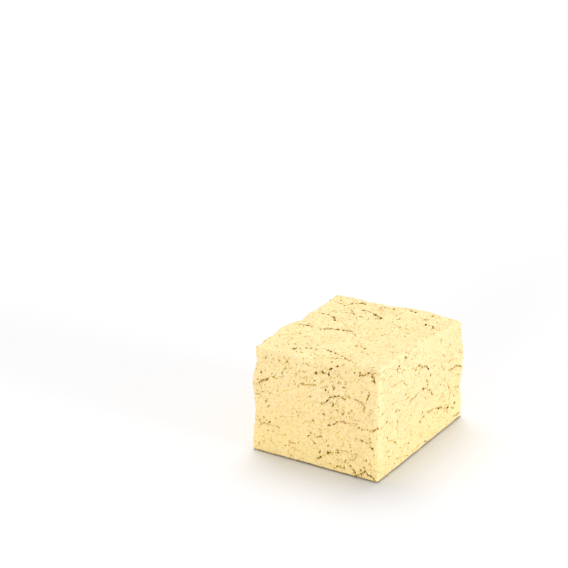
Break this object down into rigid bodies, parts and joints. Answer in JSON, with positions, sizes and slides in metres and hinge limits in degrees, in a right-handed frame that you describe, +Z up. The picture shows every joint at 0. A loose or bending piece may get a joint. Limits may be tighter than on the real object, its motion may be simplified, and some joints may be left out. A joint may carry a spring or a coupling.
{
  "type": "sunflower halva block",
  "caption": "Hand-cut rectangular block of pressed sunflower halva with crumbled edges, short crevices, small pits and a flat base to rest on.",
  "frame": {"origin": "middle of the flat base, on the surface that the block rests on", "axes": "+Z up, +Y from the front to the back along the block's longest side, +X to the right as seen from the front"},
  "size_m": [0.062, 0.0802, 0.0479],
  "materials": {
    "halva": "matte"
  },
  "bodies": {
    "root": {"halva_block": "halva"}
  },
  "joints": []
}
